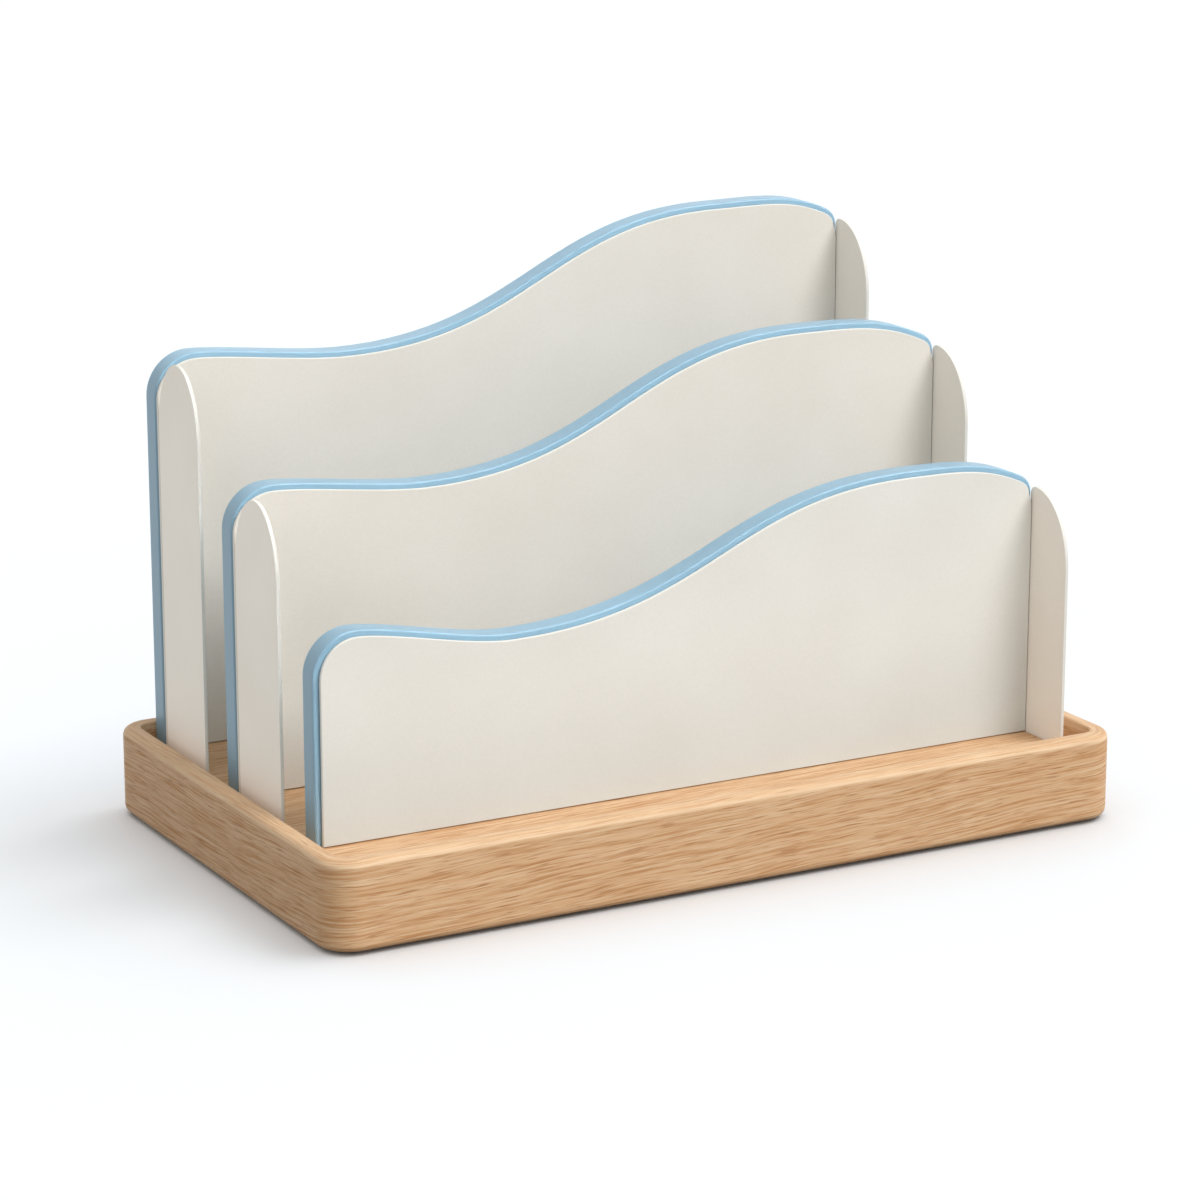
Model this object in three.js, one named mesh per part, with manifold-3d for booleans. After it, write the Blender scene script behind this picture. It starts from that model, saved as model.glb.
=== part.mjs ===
// A desk sorter for documents: an oak tray holds three upright panels in steps of height.
// Each panel has a wavy top edge and a thin facing, with wings that keep papers from sliding out.
// Millimetres, +Z up, +X to the right, -Y to the front. The origin is the middle of the footprint,
// on the surface that the felt pads rest on.
import * as THREE from 'three';
import { mergeVertices } from 'three/addons/utils/BufferGeometryUtils.js';
import Module from 'manifold-3d';

// Space for papers: between the middle divider's wings an A4 sheet lies on its 297 mm side
// with 6.5 mm of play
const CLEAR_WIDTH = 303.5;
const FRONT_BAY = 37;

// Oak tray
const TRAY_DEPTH = 200;
const TRAY_HEIGHT = 34;
const TRAY_CORNER_RADIUS = 13;
const TRAY_EDGE_RADIUS = 3;
const RIM_WIDTH = 7;
const RECESS_DEPTH = 8.5;
const SMALLEST_CUTTER_RADIUS = 2;
const GROOVE_DEPTH = 3;

// Felt pads, let into the underside
const PAD_RADIUS = 7;
const PAD_THICKNESS = 2.5;
const PAD_STANDOFF = 1;
const PAD_INSET = 24;

// Panels
const PANEL_THICKNESS = 9;
const PANEL_EDGE_RADIUS = 0.8;
const PANEL_LEFT_GAP = 7.6;
const PANEL_BACK_GAP = 1;

// Wave of the panels' top edge: a shoulder, a dip, a crest and a short fall to the right end
const SHOULDER_RADIUS = 17;
const END_REACH = 12;
const END_FALL = 8;
const END_SLOPE = THREE.MathUtils.degToRad(24);
const DIP_FROM_LEFT = 80;

// How far each curve's handle reaches along its own span
const SHOULDER_PULL = 0.23;
const DIP_PULL_LEFT = 0.29;
const DIP_PULL_RIGHT = 0.48;
const CREST_PULL_LEFT = 0.46;
const CREST_PULL_RIGHT = 0.43;
const END_PULL = 0.35;

// Facings and wings, cut from the same sheet
const SHEET_THICKNESS = 1.5;
const TOP_MARGIN = 2.2;
const WING_MARGIN = 0.4;
const RELIEF_DEPTH = 5;
const LEFT_WING_DEPTH = 39;
const LEFT_ARCH_RISE = 28;
const RIGHT_WING_DEPTH = 25;
const RIGHT_WING_RISE = 29;
const WING_TIP_DROP = 4.5;
const WING_TIP_RADIUS = 3;
const WING_OVERHANG = 1;

// Rear divider: its crest is the height of the whole, above the surface that the sorter stands on
const REAR_CREST_HEIGHT = 220.7;
const REAR_CREST_FROM_LEFT = 245.5;
const REAR_SHOULDER_DROP = 39.1;
const REAR_DIP_DROP = 44.5;
const REAR_END_DROP = 5.8;
const REAR_RIGHT_GAP = 10.5;

// Middle divider, a step lower than the rear one
const MIDDLE_STEP = 38.9;
const MIDDLE_CREST_FROM_LEFT = 243.5;
const MIDDLE_SHOULDER_DROP = 37.6;
const MIDDLE_DIP_DROP = 43.4;
const MIDDLE_END_DROP = 7.9;
const MIDDLE_RIGHT_GAP = 7.5;

// Front divider, a step lower than the middle one, without a left wing
const FRONT_STEP = 44.6;
const FRONT_CREST_FROM_LEFT = 249.5;
const FRONT_SHOULDER_DROP = 31.9;
const FRONT_DIP_DROP = 41.2;
const FRONT_END_DROP = 7.1;
const FRONT_RIGHT_GAP = 6.5;
const FRONT_LEFT_MARGIN = 2.4;

// Wood screws, driven up through the tray into the feet of the panels
const SCREW_LENGTH = 40;
const SCREW_RADIUS = 2;
const SCREW_HEAD_RADIUS = 4;
const SCREW_TIP_LENGTH = 5;
const SCREW_BITE = 21.2;
const SCREW_END_INSET = 40;
const SOCKET_RADIUS = 1.5;
const SOCKET_DEPTH = 1.6;
const SOCKET_SIDES = 6;

// Clearance between pieces that rest against each other or sit in each other
const FIT_GAP = 0.3;

// How far a cutter runs past the face that it starts from
const CUT_PAST = 5;

// Fineness of the round shapes
const WAVE_STEPS = 16;
const CORNER_STEPS = 6;
const EDGE_STEPS = 3;
const ROUND_STEPS = 20;

// Points closer than this are one point of a solid
const MERGE_DISTANCE = 1e-4;

// Sizes that follow from the ones above
const endTurn = Math.atan((Math.tan(END_SLOPE) * END_REACH) / END_FALL);
const besideWings = PANEL_LEFT_GAP + WING_MARGIN + MIDDLE_RIGHT_GAP + 2 * RIM_WIDTH;
const trayWidth = CLEAR_WIDTH + 2 * SHEET_THICKNESS + besideWings;
const trayTop = PAD_STANDOFF + TRAY_HEIGHT;
const floorTop = trayTop - RECESS_DEPTH;
const innerLeft = RIM_WIDTH - trayWidth / 2;
const innerRight = -innerLeft;
const innerBack = TRAY_DEPTH / 2 - RIM_WIDTH;
const innerFront = -innerBack;

const panelLeft = innerLeft + PANEL_LEFT_GAP;
const leftWingOuter = panelLeft + WING_MARGIN;
const grooveFoot = floorTop - GROOVE_DEPTH + FIT_GAP;
const facingFoot = floorTop + FIT_GAP;
const facingFront = -FIT_GAP - SHEET_THICKNESS;
const leftWingRear = facingFront - FIT_GAP;
const rightWingRear = -FIT_GAP;

const middleCrestHeight = REAR_CREST_HEIGHT - MIDDLE_STEP;
const frontCrestHeight = middleCrestHeight - FRONT_STEP;

const screwTip = grooveFoot + SCREW_BITE;
const screwBottom = screwTip - SCREW_LENGTH;
const screwHeadHeight = SCREW_HEAD_RADIUS - SCREW_RADIUS;

// The front planes of the panels lie evenly spaced, from the rear wall to the front bay
const rearPanelFront = innerBack - PANEL_BACK_GAP - PANEL_THICKNESS;
const frontPanelFront = innerFront + FRONT_BAY;
const middlePanelFront = (rearPanelFront + frontPanelFront) / 2;

const DIVIDERS = [
  {
    name: 'rear',
    front: rearPanelFront,
    crest: new THREE.Vector2(panelLeft + REAR_CREST_FROM_LEFT, REAR_CREST_HEIGHT),
    shoulderDrop: REAR_SHOULDER_DROP,
    dipDrop: REAR_DIP_DROP,
    endDrop: REAR_END_DROP,
    rightWingOuter: innerRight - REAR_RIGHT_GAP,
    leftMargin: WING_MARGIN,
    hasLeftWing: true,
  },
  {
    name: 'middle',
    front: middlePanelFront,
    crest: new THREE.Vector2(panelLeft + MIDDLE_CREST_FROM_LEFT, middleCrestHeight),
    shoulderDrop: MIDDLE_SHOULDER_DROP,
    dipDrop: MIDDLE_DIP_DROP,
    endDrop: MIDDLE_END_DROP,
    rightWingOuter: innerRight - MIDDLE_RIGHT_GAP,
    leftMargin: WING_MARGIN,
    hasLeftWing: true,
  },
  {
    name: 'front',
    front: frontPanelFront,
    crest: new THREE.Vector2(panelLeft + FRONT_CREST_FROM_LEFT, frontCrestHeight),
    shoulderDrop: FRONT_SHOULDER_DROP,
    dipDrop: FRONT_DIP_DROP,
    endDrop: FRONT_END_DROP,
    rightWingOuter: innerRight - FRONT_RIGHT_GAP,
    leftMargin: FRONT_LEFT_MARGIN,
    hasLeftWing: false,
  },
];

const OAK = { color: 0xd2aa7d, roughness: 0.55, metalness: 0 };
const BLUE_LACQUER = { color: 0xa3c4dc, roughness: 0.4, metalness: 0 };
const CREAM_COAT = { color: 0xe6e1d5, roughness: 0.6, metalness: 0 };
const ZINC_STEEL = { color: 0xb9bcc0, roughness: 0.35, metalness: 1 };
const GREY_FELT = { color: 0x5b5a58, roughness: 0.95, metalness: 0 };

// Directions in which an outline is drawn and swept
const UP = new THREE.Matrix4();
const TO_FRONT = new THREE.Matrix4().makeRotationX(Math.PI / 2);
const TO_RIGHT = new THREE.Matrix4().makeBasis(
  new THREE.Vector3(0, 1, 0),
  new THREE.Vector3(0, 0, 1),
  new THREE.Vector3(1, 0, 0),
);

const wasm = await Module();
wasm.setup();

// Closed solid of a geometry, ready to be joined or cut
function toSolid(geometry) {
  const bare = geometry.clone();
  bare.deleteAttribute('normal');
  bare.deleteAttribute('uv');
  const merged = mergeVertices(bare, MERGE_DISTANCE);
  return new wasm.Manifold(
    new wasm.Mesh({
      numProp: 3,
      vertProperties: new Float32Array(merged.attributes.position.array),
      triVerts: new Uint32Array(merged.index.array),
    }),
  );
}

// Geometry of a solid that was joined or cut
function toGeometry(solid) {
  const { vertProperties, triVerts } = solid.getMesh();
  const geometry = new THREE.BufferGeometry();
  geometry.setAttribute('position', new THREE.BufferAttribute(vertProperties, 3));
  geometry.setIndex(new THREE.BufferAttribute(triVerts, 1));
  geometry.computeVertexNormals();
  return geometry;
}

// An outline swept in a straight line, from a start along its direction
function sweep(shape, direction, start, length, edgeRadius = 0) {
  const geometry = new THREE.ExtrudeGeometry(shape, {
    depth: length - 2 * edgeRadius,
    steps: 1,
    curveSegments: CORNER_STEPS,
    bevelEnabled: edgeRadius > 0,
    bevelSize: edgeRadius,
    bevelThickness: edgeRadius,
    bevelOffset: -edgeRadius,
    bevelSegments: EDGE_STEPS,
  });
  geometry.translate(0, 0, start + edgeRadius);
  return geometry.applyMatrix4(direction);
}

// Cylinder or drum with its axis upright
function drum(radius, low, high, sides = ROUND_STEPS) {
  const geometry = new THREE.CylinderGeometry(radius, radius, high - low, sides);
  geometry.rotateX(Math.PI / 2);
  return geometry.translate(0, 0, (low + high) / 2);
}

function roundedRectangle(width, depth, radius) {
  const x = width / 2;
  const y = depth / 2;
  const shape = new THREE.Shape();
  shape.moveTo(-x + radius, -y);
  shape.absarc(x - radius, -y + radius, radius, -Math.PI / 2, 0);
  shape.absarc(x - radius, y - radius, radius, 0, Math.PI / 2);
  shape.absarc(-x + radius, y - radius, radius, Math.PI / 2, Math.PI);
  shape.absarc(-x + radius, -y + radius, radius, Math.PI, 1.5 * Math.PI);
  return shape;
}

// Right side of a divider's panel, which its wing overhangs a little
function panelRight(divider) {
  return divider.rightWingOuter - WING_OVERHANG;
}

// Top edge of a panel as seen from the front, from its left side to its right side
function topEdge(divider) {
  const { crest } = divider;
  const dip = new THREE.Vector2(panelLeft + DIP_FROM_LEFT, crest.y - divider.dipDrop);
  const shoulder = new THREE.Vector2(panelLeft + SHOULDER_RADIUS, crest.y - divider.shoulderDrop);
  const endCentreX = panelRight(divider) - END_REACH;
  const end = new THREE.Vector2(
    endCentreX + END_REACH * Math.sin(endTurn),
    crest.y - divider.endDrop,
  );
  const endCentreY = end.y - END_FALL * Math.cos(endTurn);
  const endHandle = new THREE.Vector2(-Math.cos(END_SLOPE), Math.sin(END_SLOPE))
    .multiplyScalar(END_PULL * (end.x - crest.x))
    .add(end);

  const edge = new THREE.Path();
  edge.moveTo(panelLeft, shoulder.y - SHOULDER_RADIUS);
  edge.absarc(shoulder.x, shoulder.y - SHOULDER_RADIUS, SHOULDER_RADIUS, Math.PI, Math.PI / 2, true);
  const toDip = dip.x - shoulder.x;
  edge.bezierCurveTo(
    shoulder.x + SHOULDER_PULL * toDip, shoulder.y,
    dip.x - DIP_PULL_LEFT * toDip, dip.y,
    dip.x, dip.y,
  );
  const toCrest = crest.x - dip.x;
  edge.bezierCurveTo(
    dip.x + DIP_PULL_RIGHT * toCrest, dip.y,
    crest.x - CREST_PULL_LEFT * toCrest, crest.y,
    crest.x, crest.y,
  );
  edge.bezierCurveTo(
    crest.x + CREST_PULL_RIGHT * (end.x - crest.x), crest.y,
    endHandle.x, endHandle.y,
    end.x, end.y,
  );
  edge.absellipse(endCentreX, endCentreY, END_REACH, END_FALL, Math.PI / 2 - endTurn, 0, true);
  return edge.getPoints(WAVE_STEPS);
}

// The same edge moved inwards; up to the shoulder the side margin may differ from the one on top
function insetEdge(points, leftMargin) {
  return points.map((point, i) => {
    const before = points[Math.max(i - 1, 0)];
    const after = points[Math.min(i + 1, points.length - 1)];
    const along = after.clone().sub(before).normalize();
    if (i === 0) {
      along.set(0, 1);
    } else if (i === points.length - 1) {
      along.set(0, -1);
    }
    const sideMargin = point.x < panelLeft + SHOULDER_RADIUS ? leftMargin : TOP_MARGIN;
    return new THREE.Vector2(point.x + along.y * sideMargin, point.y - along.x * TOP_MARGIN);
  });
}

// Places of the three screws under a panel, from its left end to its right end
function screwPlaces(divider) {
  const right = panelRight(divider);
  return [
    { name: 'left', x: panelLeft + SCREW_END_INSET },
    { name: 'centre', x: (panelLeft + right) / 2 },
    { name: 'right', x: right - SCREW_END_INSET },
  ];
}

function panelGeometry(divider) {
  const outline = new THREE.Shape([
    new THREE.Vector2(panelLeft, grooveFoot),
    ...topEdge(divider),
    new THREE.Vector2(panelRight(divider), grooveFoot),
  ]);
  const board = toSolid(sweep(outline, TO_FRONT, -PANEL_THICKNESS, PANEL_THICKNESS, PANEL_EDGE_RADIUS));
  const drilled = screwPlaces(divider).reduce((solid, screw) => {
    const hole = drum(SCREW_RADIUS + FIT_GAP, grooveFoot - CUT_PAST, screwTip + FIT_GAP);
    return solid.subtract(toSolid(hole.translate(screw.x, PANEL_THICKNESS / 2, 0)));
  }, board);
  return toGeometry(drilled);
}

// Sheet on the front of a panel, relieved at the top where it meets the right wing
function facingGeometry(divider) {
  const edge = insetEdge(topEdge(divider), divider.leftMargin);
  const right = divider.rightWingOuter - SHEET_THICKNESS - FIT_GAP;
  const outline = new THREE.Shape([
    new THREE.Vector2(edge[0].x, facingFoot),
    ...edge,
    new THREE.Vector2(right, edge[edge.length - 1].y - RELIEF_DEPTH),
    new THREE.Vector2(right, facingFoot),
  ]);
  return sweep(outline, TO_FRONT, FIT_GAP, SHEET_THICKNESS);
}

// Left wing, seen from the side: an arch as high as the shoulder of its panel
function leftWingGeometry(divider) {
  const halfWidth = (LEFT_WING_DEPTH + leftWingRear) / 2;
  const spring = divider.crest.y - divider.shoulderDrop - LEFT_ARCH_RISE;
  const outline = new THREE.Shape();
  outline.moveTo(leftWingRear, grooveFoot);
  outline.lineTo(leftWingRear, spring);
  outline.absellipse(leftWingRear - halfWidth, spring, halfWidth, LEFT_ARCH_RISE, 0, Math.PI);
  outline.lineTo(-LEFT_WING_DEPTH, grooveFoot);
  return sweep(outline, TO_RIGHT, leftWingOuter, SHEET_THICKNESS);
}

// Right wing, seen from the side: behind a small round its top falls as a quarter of an ellipse
function rightWingGeometry(divider) {
  const crown = rightWingRear - WING_TIP_RADIUS;
  const depth = RIGHT_WING_DEPTH + crown;
  const tip = divider.crest.y - divider.endDrop - WING_TIP_DROP;
  const outline = new THREE.Shape();
  outline.moveTo(rightWingRear, grooveFoot);
  outline.absarc(crown, tip - WING_TIP_RADIUS, WING_TIP_RADIUS, 0, Math.PI / 2);
  outline.absellipse(crown, tip - RIGHT_WING_RISE, depth, RIGHT_WING_RISE, Math.PI / 2, Math.PI);
  outline.lineTo(-RIGHT_WING_DEPTH, grooveFoot);
  return sweep(outline, TO_RIGHT, divider.rightWingOuter - SHEET_THICKNESS, SHEET_THICKNESS);
}

// Countersunk wood screw, head down, with a hexagon socket
function screwGeometry() {
  const profile = [
    new THREE.Vector2(0, screwBottom),
    new THREE.Vector2(SCREW_HEAD_RADIUS, screwBottom),
    new THREE.Vector2(SCREW_RADIUS, screwBottom + screwHeadHeight),
    new THREE.Vector2(SCREW_RADIUS, screwTip - SCREW_TIP_LENGTH),
    new THREE.Vector2(0, screwTip),
  ];
  const body = new THREE.LatheGeometry(profile, ROUND_STEPS).rotateX(Math.PI / 2);
  const socketTop = screwBottom + SOCKET_DEPTH;
  const socket = drum(SOCKET_RADIUS, screwBottom - CUT_PAST, socketTop, SOCKET_SIDES);
  return toGeometry(toSolid(body).subtract(toSolid(socket)));
}

// Places of the pads, inset alike from the sides of the tray
function padPlaces() {
  const x = trayWidth / 2 - PAD_INSET;
  const y = TRAY_DEPTH / 2 - PAD_INSET;
  return [
    { name: 'front_left', x: -x, y: -y },
    { name: 'front_right', x, y: -y },
    { name: 'rear_left', x: -x, y },
    { name: 'rear_right', x, y },
  ];
}

// Countersunk hole for a screw that comes up from the underside
function countersink(screw, frontY) {
  const head = SCREW_HEAD_RADIUS + FIT_GAP;
  const shank = SCREW_RADIUS + FIT_GAP;
  const profile = [
    new THREE.Vector2(0, PAD_STANDOFF - CUT_PAST),
    new THREE.Vector2(head, PAD_STANDOFF - CUT_PAST),
    new THREE.Vector2(head, screwBottom),
    new THREE.Vector2(shank, screwBottom + screwHeadHeight),
    new THREE.Vector2(shank, trayTop),
    new THREE.Vector2(0, trayTop),
  ];
  const geometry = new THREE.LatheGeometry(profile, ROUND_STEPS).rotateX(Math.PI / 2);
  return toSolid(geometry.translate(screw.x, frontY + PANEL_THICKNESS / 2, 0));
}

// Groove in the tray's floor round the foot of a panel or a wing
function groove(left, right, front, back) {
  const width = right - left + 2 * FIT_GAP;
  const depth = back - front + 2 * FIT_GAP;
  const box = new THREE.BoxGeometry(width, depth, 2 * GROOVE_DEPTH);
  return toSolid(box.translate((left + right) / 2, (front + back) / 2, floorTop));
}

function trayGeometry() {
  const body = roundedRectangle(trayWidth, TRAY_DEPTH, TRAY_CORNER_RADIUS);
  const recessRadius = Math.max(TRAY_CORNER_RADIUS - RIM_WIDTH, SMALLEST_CUTTER_RADIUS);
  const recess = roundedRectangle(trayWidth - 2 * RIM_WIDTH, TRAY_DEPTH - 2 * RIM_WIDTH, recessRadius);
  let tray = toSolid(sweep(body, UP, PAD_STANDOFF, TRAY_HEIGHT, TRAY_EDGE_RADIUS));
  tray = tray.subtract(toSolid(sweep(recess, UP, floorTop, RECESS_DEPTH + CUT_PAST)));

  for (const divider of DIVIDERS) {
    const y = divider.front;
    tray = tray.subtract(groove(panelLeft, panelRight(divider), y, y + PANEL_THICKNESS));
    const right = divider.rightWingOuter;
    const rightWingFront = y - RIGHT_WING_DEPTH;
    tray = tray.subtract(groove(right - SHEET_THICKNESS, right, rightWingFront, y + rightWingRear));
    if (divider.hasLeftWing) {
      const left = leftWingOuter;
      tray = tray.subtract(groove(left, left + SHEET_THICKNESS, y - LEFT_WING_DEPTH, y + leftWingRear));
    }
    for (const screw of screwPlaces(divider)) {
      tray = tray.subtract(countersink(screw, y));
    }
  }

  for (const place of padPlaces()) {
    const pocket = drum(PAD_RADIUS + FIT_GAP, PAD_STANDOFF - CUT_PAST, PAD_THICKNESS + FIT_GAP);
    tray = tray.subtract(toSolid(pocket.translate(place.x, place.y, 0)));
  }
  return toGeometry(tray);
}

function addMesh(parent, name, geometry, finish) {
  const mesh = new THREE.Mesh(geometry, new THREE.MeshStandardMaterial(finish));
  mesh.name = name;
  parent.add(mesh);
  return mesh;
}

const group = new THREE.Group();
addMesh(group, 'oak_tray', trayGeometry(), OAK);

for (const place of padPlaces()) {
  const pad = addMesh(group, `foot_pad_${place.name}`, drum(PAD_RADIUS, 0, PAD_THICKNESS), GREY_FELT);
  pad.position.set(place.x, place.y, 0);
}

for (const divider of DIVIDERS) {
  const set = new THREE.Group();
  set.position.y = divider.front;
  group.add(set);
  addMesh(set, `${divider.name}_panel`, panelGeometry(divider), BLUE_LACQUER);
  addMesh(set, `${divider.name}_facing`, facingGeometry(divider), CREAM_COAT);
  addMesh(set, `${divider.name}_wing_right`, rightWingGeometry(divider), CREAM_COAT);
  if (divider.hasLeftWing) {
    addMesh(set, `${divider.name}_wing_left`, leftWingGeometry(divider), CREAM_COAT);
  }
  for (const screw of screwPlaces(divider)) {
    const mesh = addMesh(set, `${divider.name}_screw_${screw.name}`, screwGeometry(), ZINC_STEEL);
    mesh.position.set(screw.x, PANEL_THICKNESS / 2, 0);
  }
}

export default group;
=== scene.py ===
import math

import bmesh
import bpy
from mathutils import Matrix, Vector
from mathutils.geometry import interpolate_bezier


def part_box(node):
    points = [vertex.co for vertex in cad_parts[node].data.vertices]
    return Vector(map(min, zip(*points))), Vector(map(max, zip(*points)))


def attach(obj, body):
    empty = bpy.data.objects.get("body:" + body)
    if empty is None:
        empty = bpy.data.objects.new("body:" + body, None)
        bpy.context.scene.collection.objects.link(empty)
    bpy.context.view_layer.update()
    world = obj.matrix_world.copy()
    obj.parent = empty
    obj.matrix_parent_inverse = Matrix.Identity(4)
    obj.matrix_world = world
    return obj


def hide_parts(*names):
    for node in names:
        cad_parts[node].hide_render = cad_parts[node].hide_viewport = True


# A desk sorter for documents: an oak tray holds three wave-topped panels, faced and winged in cream.
# Metres, +Z up, +X to the right along the panels, -Y to the front.
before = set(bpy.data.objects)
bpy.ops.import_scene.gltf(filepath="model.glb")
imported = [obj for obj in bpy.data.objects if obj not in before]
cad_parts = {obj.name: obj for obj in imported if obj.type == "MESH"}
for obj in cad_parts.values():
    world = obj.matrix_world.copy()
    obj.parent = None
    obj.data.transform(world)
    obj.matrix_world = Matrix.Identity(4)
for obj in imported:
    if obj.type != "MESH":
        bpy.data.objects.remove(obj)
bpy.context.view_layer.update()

MM = 0.001
X, Y, Z = 0, 1, 2

# Tray
TRAY_CORNER_RADIUS = 13 * MM
TRAY_EDGE_RADIUS = 3 * MM
RIM_WIDTH = 7 * MM
RIM_INNER_RADIUS = 0.8 * MM
RECESS_DEPTH = 8.5 * MM
GROOVE_DEPTH = 3 * MM
# Heights between which the oak of the rim's top edge is drawn paler, a painted highlight
PAINTED_HIGHLIGHT_FOOT = 30.5 * MM
PAINTED_HIGHLIGHT_TOP = 34 * MM

# Felt pads under the tray
PADS = [f"foot_pad_{end}_{side}" for side in ("left", "right") for end in ("front", "rear")]
PAD_EDGE_RADIUS = 0.5 * MM

# Panels
PANEL_EDGE_RADIUS = 0.8 * MM
SHOULDER_RADIUS = 17 * MM
END_REACH = 12 * MM
END_FALL = 8 * MM
END_SLOPE = math.radians(24)
END_TURN = math.atan(math.tan(END_SLOPE) * END_REACH / END_FALL)
DIP_FROM_LEFT = 80 * MM

# How far each curve's handle reaches along its own span
SHOULDER_PULL = 0.23
DIP_PULL_LEFT = 0.29
DIP_PULL_RIGHT = 0.48
CREST_PULL_LEFT = 0.46
CREST_PULL_RIGHT = 0.43
END_PULL = 0.35

# Wave of each divider: its crest's place from the left side, how much further it rises past the
# crest, and how far the shoulder, the dip and the right end lie below the crest
DIVIDERS = {
    "rear": {
        "crest_from_left": 245.5 * MM,
        "further_rise": 0.15 * MM,
        "shoulder_drop": 39.1 * MM,
        "dip_drop": 44.5 * MM,
        "end_drop": 5.8 * MM,
    },
    "middle": {
        "crest_from_left": 243.5 * MM,
        "further_rise": 0,
        "shoulder_drop": 37.6 * MM,
        "dip_drop": 43.4 * MM,
        "end_drop": 7.9 * MM,
    },
    "front": {
        "crest_from_left": 249.5 * MM,
        "further_rise": 0,
        "shoulder_drop": 31.9 * MM,
        "dip_drop": 41.2 * MM,
        "end_drop": 7.1 * MM,
    },
}
WITH_LEFT_WING = ("rear", "middle")

# Facings and wings
SHEET_RIM_RADIUS = 0.3 * MM
TOP_MARGIN = 2.2 * MM
RELIEF_DEPTH = 5 * MM
LEFT_ARCH_RISE = 28 * MM
RIGHT_WING_RISE = 29 * MM
WING_TIP_RADIUS = 3 * MM

# Wood screws, three under each panel
SCREW_PLACES = ("left", "centre", "right")
SCREW_SHANK_RADIUS = 2 * MM
SCREW_TIP_LENGTH = 5 * MM
SCREW_EDGE_RADIUS = 0.2 * MM
SOCKET_RADIUS = 1.5 * MM
SOCKET_DEPTH = 1.6 * MM
SOCKET_SIDES = 6

# Clearance of what stands in a groove or a hole, and how far a cutter runs past the face it starts from
FIT_GAP = 0.3 * MM
CUT_PAST = 2 * MM

# Fineness of the curves, in points for each stretch, and of the rounded edges, in faces across
WAVE_STEPS = 32
ARC_STEPS = 14
FALL_STEPS = 28
ARCH_STEPS = 48
SPIN_STEPS = 32
BAR_SIDES = 48
HOLE_SIDES = 32
TRAY_CORNER_SEGMENTS = 12
TRAY_EDGE_SEGMENTS = 6
FINE_EDGE_SEGMENTS = 4
PAD_EDGE_SEGMENTS = 3

# Tests of where an edge or a face lies
SAME_PLACE = 1e-6
MERGE_DISTANCE = 1e-6
NEAR_WALL = 0.5 * MM
AT_RECESS_WALL = 0.2 * MM
ON_RECESS_FLOOR = 0.1 * MM
LEVEL_FACE = 0.9
SHEET_FACE = 0.95
SHARP_ANGLE = math.radians(35)

# On the map of the oak's grain, how far the floor lies from the walls, so that their grain differs
FLOOR_GRAIN_SHIFT = 0.3

# Sockets of the node that mixes colours, by number because their names repeat
MIX_FACTOR, MIX_UNDER, MIX_OVER = 0, 6, 7
MIX_RESULT = 2

# Camera: a long lens, level, looking down from the front left
CAMERA_PLACE = Vector((-0.7186, -1.3002, 0.4804))
CAMERA_TARGET = Vector((-0.00547, 0.00186, 0.08627))
CAMERA_LENS = 120
CAMERA_SENSOR = 36
CAMERA_REACH = 100

# Studio
FLOOR_WIDTH = 30
LAMP_DISTANCE = 3
FROM_FRONT_RIGHT = (0.34, -0.6, 0.72)
FROM_FRONT_LEFT = (-0.75, -0.45, 0.5)
FROM_FRONT_BELOW = (0.35, -0.9, 0.1)
FROM_TOP_RIGHT = (0.55, -0.15, 0.82)
FROM_TOP_BEHIND = (0.3, 0.25, 0.92)
WORLD_FILL = (1.0, 0.985, 0.965, 1.0)
WORLD_FILL_STRENGTH = 0.52


def colour(hex_value):
    """Linear colour of an sRGB hex value."""
    channels = [int(hex_value[i : i + 2], 16) / 255 for i in (1, 3, 5)]
    lin = [c / 12.92 if c <= 0.04045 else ((c + 0.055) / 1.055) ** 2.4 for c in channels]
    return (*lin, 1.0)


def grey(value):
    return (value, value, value, 1.0)


# Modelling


def clear_selection():
    if bpy.context.object and bpy.context.object.mode != "OBJECT":
        bpy.ops.object.mode_set(mode="OBJECT")
    bpy.ops.object.select_all(action="DESELECT")


def activate(piece):
    clear_selection()
    piece.select_set(True)
    bpy.context.view_layer.objects.active = piece


def edit(piece):
    activate(piece)
    bpy.ops.object.mode_set(mode="EDIT")
    bpy.ops.mesh.select_mode(type="EDGE")


def leave_edit():
    bpy.ops.object.mode_set(mode="OBJECT")


def pick(piece, kind, test):
    """Selects the edges or the faces that pass a test, in edit mode, and nothing else."""
    mesh = bmesh.from_edit_mesh(piece.data)
    mesh.normal_update()
    for item in [*mesh.faces, *mesh.edges, *mesh.verts]:
        item.select_set(False)
    for item in getattr(mesh, kind):
        if test(item):
            item.select_set(True)
    bmesh.update_edit_mesh(piece.data)


def level(axis, value):
    """Test for an edge that lies at one value of an axis."""
    return lambda edge: all(abs(v.co[axis] - value) < SAME_PLACE for v in edge.verts)


def upright(edge):
    return abs(edge.verts[0].co[Z] - edge.verts[1].co[Z]) > SAME_PLACE


def round_edges(radius, segments, **settings):
    """Rounds the selected edges, in edit mode."""
    bpy.ops.mesh.bevel(offset=radius, segments=segments, profile=0.5, affect="EDGES", **settings)


def apply_place(piece):
    activate(piece)
    bpy.ops.object.transform_apply(location=True, rotation=True, scale=True)


def block(name, low, high):
    """Box between two corners."""
    clear_selection()
    bpy.ops.mesh.primitive_cube_add(size=1, location=(low + high) / 2, scale=high - low)
    piece = bpy.context.object
    piece.name = name
    apply_place(piece)
    return piece


def bar(name, radius, foot, top, sides=BAR_SIDES):
    """Upright round bar from its foot's centre to a height."""
    clear_selection()
    middle = (foot[X], foot[Y], (foot[Z] + top) / 2)
    bpy.ops.mesh.primitive_cylinder_add(
        vertices=sides, radius=radius, depth=top - foot[Z], location=middle
    )
    piece = bpy.context.object
    piece.name = name
    apply_place(piece)
    return piece


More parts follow.
